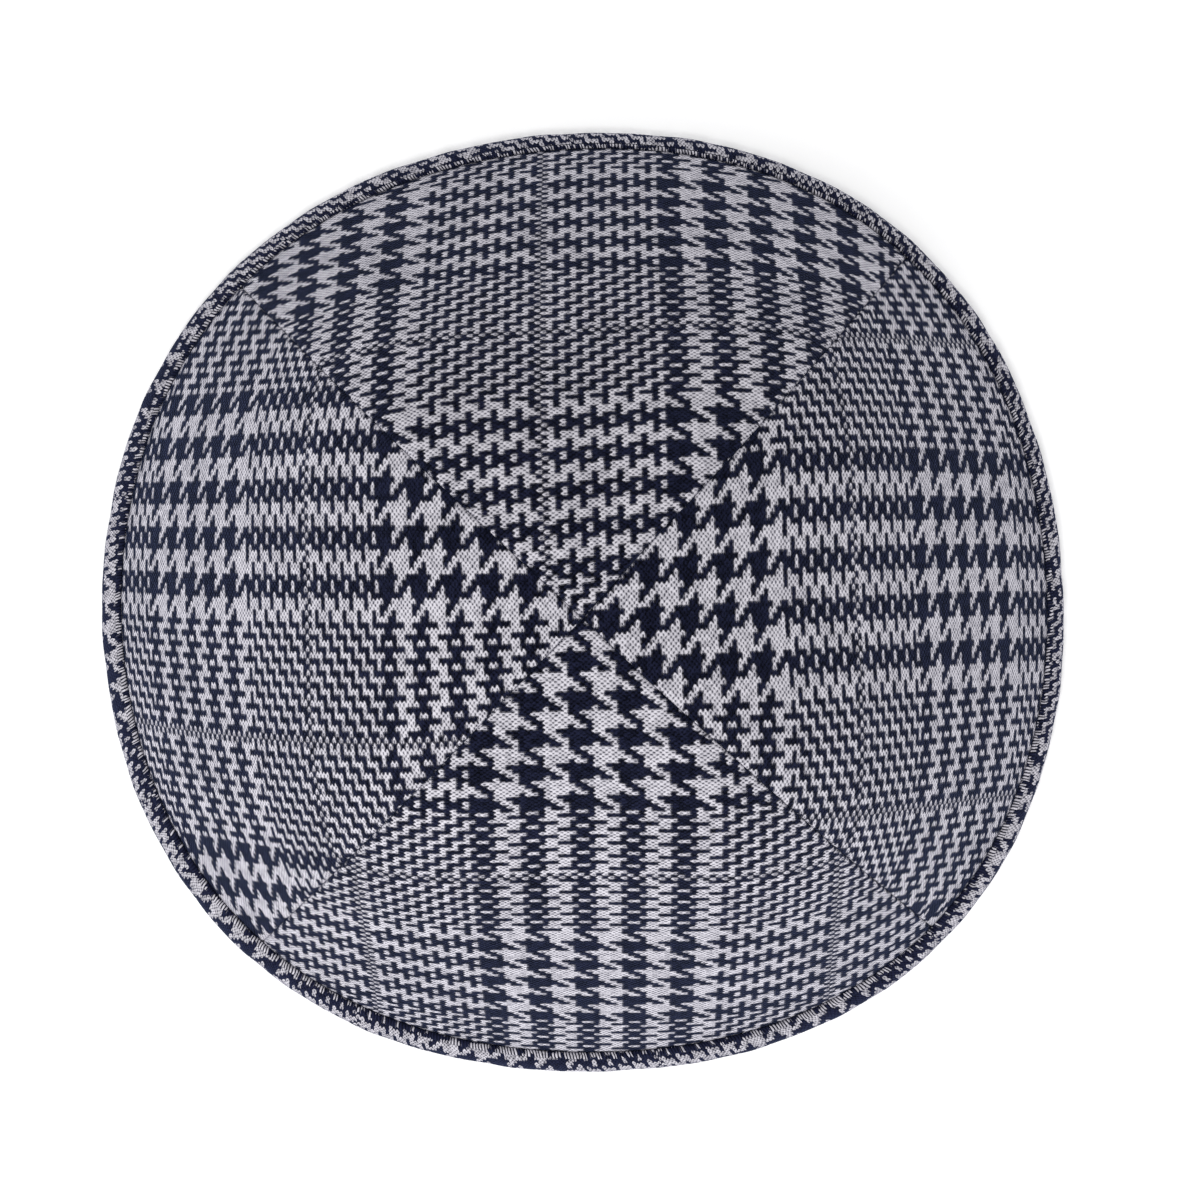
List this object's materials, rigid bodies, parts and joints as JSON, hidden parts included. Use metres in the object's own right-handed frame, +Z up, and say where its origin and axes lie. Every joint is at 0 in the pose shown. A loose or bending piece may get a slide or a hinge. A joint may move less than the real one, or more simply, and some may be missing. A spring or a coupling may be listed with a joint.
{
  "type": "kippah",
  "caption": "Skullcap of four knitted check gores sewn to a deep open dome, with a narrow folded tape binding the rim.",
  "frame": {"origin": "middle of the rim, on the surface that the hat rests on", "axes": "+Z up through the crown, +X towards the right panel, +Y towards the back panel, which is the top of the picture"},
  "size_m": [0.17, 0.166, 0.0718],
  "materials": {
    "knit": "soft matt jacquard knit of navy and pale lilac-grey yarn, in a glen check",
    "binding_knit": "the same knit cut on the bias and folded round the edge"
  },
  "bodies": {
    "root": {"panel_right": "knit", "panel_back": "knit", "panel_left": "knit", "panel_front": "knit", "rim_binding": "binding_knit"}
  },
  "joints": []
}
